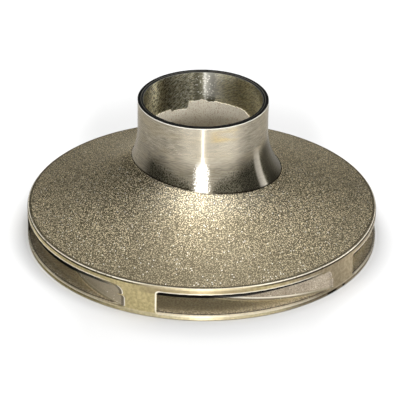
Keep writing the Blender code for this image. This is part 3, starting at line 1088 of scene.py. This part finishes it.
# %% Colour of the edge
LAND_DARK, LAND_LIGHT = (0.45, 0.37, 0.185, 1), (0.66, 0.56, 0.30, 1)
RIGHT_DARK, RIGHT_LIGHT = (0.33, 0.27, 0.17, 1), (0.49, 0.405, 0.275, 1)
UPPER_DARK_AT, LOWER_DARK_AT = 0.0159, 0.0013
LOWER_LINE_AT = 0.0022


def edge_colour(at, painted_corner_highlight):
    """The turned edge: mottled lands, painted shade, dark lines and painted highlights."""
    mottle = rise(noise(at.spot, MOTTLE_SCALE, 3), 0.3, 0.7)
    # Painted shade: the lands on the right are darker.
    painted_right_shade = angle_rise(at.azimuth, 15, 40)
    colour = blend(painted_right_shade, blend(mottle, LAND_DARK, LAND_LIGHT),
                   blend(mottle, RIGHT_DARK, RIGHT_LIGHT))
    front = front_land(at)
    sides = angle_rise(abs(at.azimuth), 15, 40)
    # Painted shade on the front land above the slots.
    colour = blend(rise(at.height, 0.0120, 0.0128) * front * 0.65, colour, (0.30, 0.235, 0.14, 1))
    dark = near(at.height, UPPER_DARK_AT, 0.0005) * (1 - front) * 0.85
    dark = dark + near(at.height, LOWER_DARK_AT, 0.0005) * sides * 0.5
    colour = blend(dark, colour, (0.04, 0.03, 0.02, 1))
    # Painted highlights on the lower lips, strongest in front, and on a line along them.
    painted_lower_lip_highlight = rise(at.height, 0.0028, LOWER_LINE_AT) * angle_rise(abs(at.azimuth), 45, 10)
    painted_lower_line_highlight = near(at.height, LOWER_LINE_AT, 0.0005) * sides
    colour = blend(painted_lower_lip_highlight * 0.3 + painted_lower_line_highlight * 0.25, colour, (0.95, 0.88, 0.70, 1))
    chips = (facing(at, 47, 3) + facing(at, 53, 0.8)) * near(at.height, 0.0007, 0.0011)
    colour = blend(chips, colour, (0.02, 0.016, 0.01, 1))
    return blend(painted_corner_highlight, colour, PAINTED_HIGHLIGHT)


# %% [markdown]
# ## Turned metal
# Fine grooves spread a reflection across themselves, so a lamp becomes a long streak up the neck.
# The shader does this by anisotropy, whose direction follows the shaft, and a faint bump adds the
# grooves that are coarse enough to see. One material serves all the turned faces, and masks put
# the colours of neck, bore and edge in their places. The specular is tinted here too, which keeps
# the sides of the neck from turning white.

# %% Turned bronze
ACROSS_GROOVES = 0.25
STREAKINESS = 0.97
GROOVE_DEPTH = 0.00003
BORE_BAND = (0.045, 0.048)
FOOT_BAND = (0.058, 0.048)


def turned():
    material, shader, at = begin("turned_bronze")
    grooves = tool_marks(at)
    painted_corner_highlight = painted_corner_highlights(at)
    on_edge = rise(at.radius, *EDGE_BAND)
    colour = blend(on_edge, neck_colour(at, grooves), edge_colour(at, painted_corner_highlight))
    inside = rise(at.radius, BORE_RADIUS + 0.0004, BORE_RADIUS + 0.0001)
    inside = inside * rise(at.height, *BORE_BAND)
    colour = blend(inside, colour, bore_colour(at, grooves))
    # Painted highlight: a pale band round the top of the neck, just under the rim.
    painted_rim_edge_highlight = rise(at.height, RIM_HEIGHT - 0.0009, RIM_HEIGHT - 0.0004) * (1 - inside) * 0.7
    colour = blend(painted_rim_edge_highlight, colour, (0.85, 0.83, 0.75, 1))
    front_foot = rise(at.height, *FOOT_BAND) * facing(at, 0, 80)
    feed(shader, base_color=colour, normal=bump(grooves, GROOVE_DEPTH),
         roughness=0.25 + inside * 0.19 + front_foot * 0.20,
         metallic=1 - painted_corner_highlight * 0.6 - painted_rim_edge_highlight * 0.6)
    shader.inputs["Anisotropic"].default_value = STREAKINESS
    shader.inputs["Specular Tint"].default_value = (0.67, 0.645, 0.60, 1)
    shader.inputs["Anisotropic Rotation"].default_value = ACROSS_GROOVES
    return material


# %% [markdown]
# ## Painted dark metal
# The rim carries two black rings, a painted reflection of the dark room, with a fine step between
# them, and thin painted highlights on the step and at both edges. The undersides of the slots'
# upper lips are painted black too, as shade, which fades to brown at each slot's right end.
# A metal shader turns pale at a flat angle however dark its colour, so this finish is a dull
# non-metal, which stays black from every side.

# %% Painted dark bronze
STEP_AT = NECK_RADIUS - 0.0015
RIM_BAND = (0.060, 0.065)


def painted_dark():
    material, shader, at = begin("painted_dark_bronze")
    # Thin painted highlights on the rim's step and edges.
    step = near(at.radius, STEP_AT, 0.00018) * 0.12
    outer = rise(at.radius, NECK_RADIUS - 0.00015, NECK_RADIUS - 0.00005) * 0.06
    inner = rise(at.radius, BORE_RADIUS + 0.00025, BORE_RADIUS + 0.00010) * 0.2
    on_rim = rise(at.height, *RIM_BAND)
    # The painted shade under a lip fades to brown at its slot's right end.
    painted_shade_right_end = near(slot_turn(at), math.radians(60), math.radians(11)) * (1 - on_rim)
    colour = blend(painted_shade_right_end, (0.003, 0.003, 0.003, 1), (0.20, 0.165, 0.10, 1))
    colour = blend((step + outer + inner) * on_rim, colour, (0.62, 0.60, 0.52, 1))
    feed(shader, base_color=colour)
    shader.inputs["Roughness"].default_value = 0.6
    shader.inputs["Specular IOR Level"].default_value = 0.03
    return material


# %% [markdown]
# ## Finishes on the casting
# Each face gets the number of its finish. The normals are smoothed over the small faces but stay
# sharp where two meet at more than 14 degrees, so curves look round and turned corners crisp.

# %% Finishes on the casting
SHARP_ANGLE = math.radians(14)
casting.data.materials.clear()
for material in (bead_blasted(), cored(), turned(), painted_dark()):
    casting.data.materials.append(material)
    print(f"{material.name}: {len(material.node_tree.nodes)} nodes")
finishes = [finish_of(face) for face in casting.data.polygons]
casting.data.polygons.foreach_set("material_index", finishes)
casting.data.shade_smooth()
casting.data.set_sharp_from_angle(angle=SHARP_ANGLE)
print("faces blasted, cored, turned and stained:", [finishes.count(kind) for kind in range(4)])
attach(casting, "root")
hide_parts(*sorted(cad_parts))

# %% [markdown]
# ## Floor
# The part lies on pale paper that runs out of the picture, a light grey that the lamps make white.
# It is painted a little darker near the part, where the photo has a soft shadow, because one broad
# shadow is simpler to paint than to light.

# %% Floor
FLOOR_HALF = 3
floor_mesh = bmesh.new()
bmesh.ops.create_grid(floor_mesh, x_segments=1, y_segments=1, size=FLOOR_HALF)
floor = new_object("floor", floor_mesh)
paper, paper_shader, at = begin("paper")
near_part = rise(at.radius, 0.104, 0.080) * rise(at.y, 0.05, -0.03) * rise(at.x, -0.07, -0.02)
# Painted light: a thin ring at the part's sides and the paper beside it, lifting the lamps' shadow.
painted_light_at_foot = near(at.radius, OUTSIDE_RADIUS + 0.0005, 0.0007) * rise(abs(at.x), 0.02, 0.06)
painted_light_beside = rise(abs(at.x), 0.05, 0.08) * rise(at.radius, 0.084, 0.105)
far_out = rise(at.radius, 0.11, 0.20)
grey = 0.62 - near_part * 0.09 + painted_light_at_foot * 0.06 + painted_light_beside * 0.20 + far_out * 0.24
feed(paper_shader, base_color=vector(grey, grey, grey))
paper_shader.inputs["Specular IOR Level"].default_value = 0
floor.data.materials.append(paper)
print(f"paper {2 * FLOOR_HALF} m wide")

# %% [markdown]
# ## Room and lamps
# Bright metal shows what it reflects, so the room is as much a part of the light as the lamps are.
# It is bright low in front and high behind, and black elsewhere. The lamps are a tall narrow one
# low in front, which draws the streak up the neck, two soft boxes above and a strip on the right.

# %% Room
FRONT_BRIGHT = 8
BACK_BRIGHT = 2.5
bpy.context.scene.view_settings.view_transform = "Standard"
world = bpy.data.worlds.new("studio")
bpy.context.scene.world = world
world.use_nodes = True
direction = Signal(world.node_tree).add("ShaderNodeTexCoord", {}, {}, "Generated")
y_part = direction.add("ShaderNodeSeparateXYZ", {}, {"Vector": direction}, "Y")
upwards = y_part.output("Z")


def sine(degrees):
    return math.sin(math.radians(degrees))


low_front = rise(upwards, sine(9), sine(1)) * rise(y_part, -0.35, -0.65)
high_back = rise(upwards, sine(59), sine(51)) * rise(upwards, sine(31), sine(39))
high_back = high_back * rise(y_part, 0.35, 0.65)
brightness = low_front * FRONT_BRIGHT + high_back * BACK_BRIGHT
background = world.node_tree.nodes["Background"]
background.inputs["Color"].default_value = (1, 1, 1, 1)
world.node_tree.links.new(brightness.socket, background.inputs["Strength"])
print(f"room with strength {FRONT_BRIGHT} low in front and {BACK_BRIGHT} high behind")


# %% Lamps
LAMP_AIM = Vector((0, 0, 0.03))


def soft_box(name, azimuth, elevation, distance, width, height, power):
    """A rectangular lamp that faces the part, placed by its angles from the front."""
    lamp = bpy.data.lights.new(name, "AREA")
    lamp.shape = "RECTANGLE"
    lamp.size, lamp.size_y, lamp.energy = width, height, power
    holder = bpy.data.objects.new(name, lamp)
    bpy.context.collection.objects.link(holder)
    turn, lift = math.radians(azimuth), math.radians(elevation)
    level = Vector((math.sin(turn), -math.cos(turn), 0))
    away = level * math.cos(lift) + Vector((0, 0, math.sin(lift)))
    holder.location = LAMP_AIM + away * distance
    holder.rotation_euler = away.to_track_quat("Z", "Y").to_euler()
    print(f"lamp {name}: {power} W, {distance} m away")


soft_box("low_key", azimuth=1, elevation=14, distance=1.6, width=0.08, height=0.34, power=7.5)
soft_box("front_high", azimuth=0, elevation=70, distance=1.4, width=0.5, height=0.35, power=6)
soft_box("top", azimuth=35, elevation=79, distance=1.3, width=1.2, height=1.2, power=22)
soft_box("side_strip", azimuth=106, elevation=20, distance=1.2, width=0.08, height=0.5, power=1.2)
